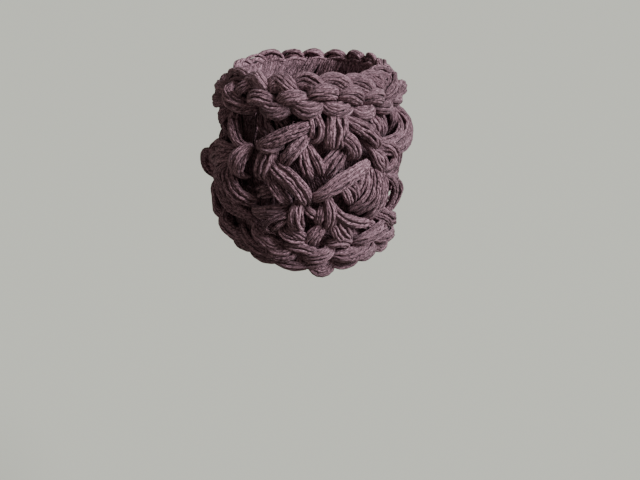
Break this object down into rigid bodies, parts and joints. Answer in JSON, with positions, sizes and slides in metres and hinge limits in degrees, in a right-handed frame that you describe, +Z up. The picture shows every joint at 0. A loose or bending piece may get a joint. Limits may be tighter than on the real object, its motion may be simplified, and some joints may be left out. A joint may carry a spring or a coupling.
{
  "type": "ankle warmer",
  "caption": "Chunky crocheted ankle warmer in its worn shape: a hollow tube of openwork rounds between dense braided bands, open at both ends.",
  "frame": {"origin": "on the leg's axis, in the plane of the hem, where the hem band sits on the ankle", "axes": "+Z up the leg, -Y the front of the leg, +X the side to the right seen from the front"},
  "size_m": [0.1533, 0.1458, 0.1433],
  "materials": {
    "yarn": "matt, soft multi-strand yarn with a short nap, dusty mauve with fine light and dark flecks"
  },
  "bodies": {
    "root": {"hem_edge_round": "yarn", "hem_band_round": "yarn", "lower_open_round": "yarn", "middle_open_round": "yarn", "upper_open_round": "yarn", "top_braid_lower_round": "yarn", "top_braid_middle_round": "yarn", "top_edge_round": "yarn"}
  },
  "joints": []
}
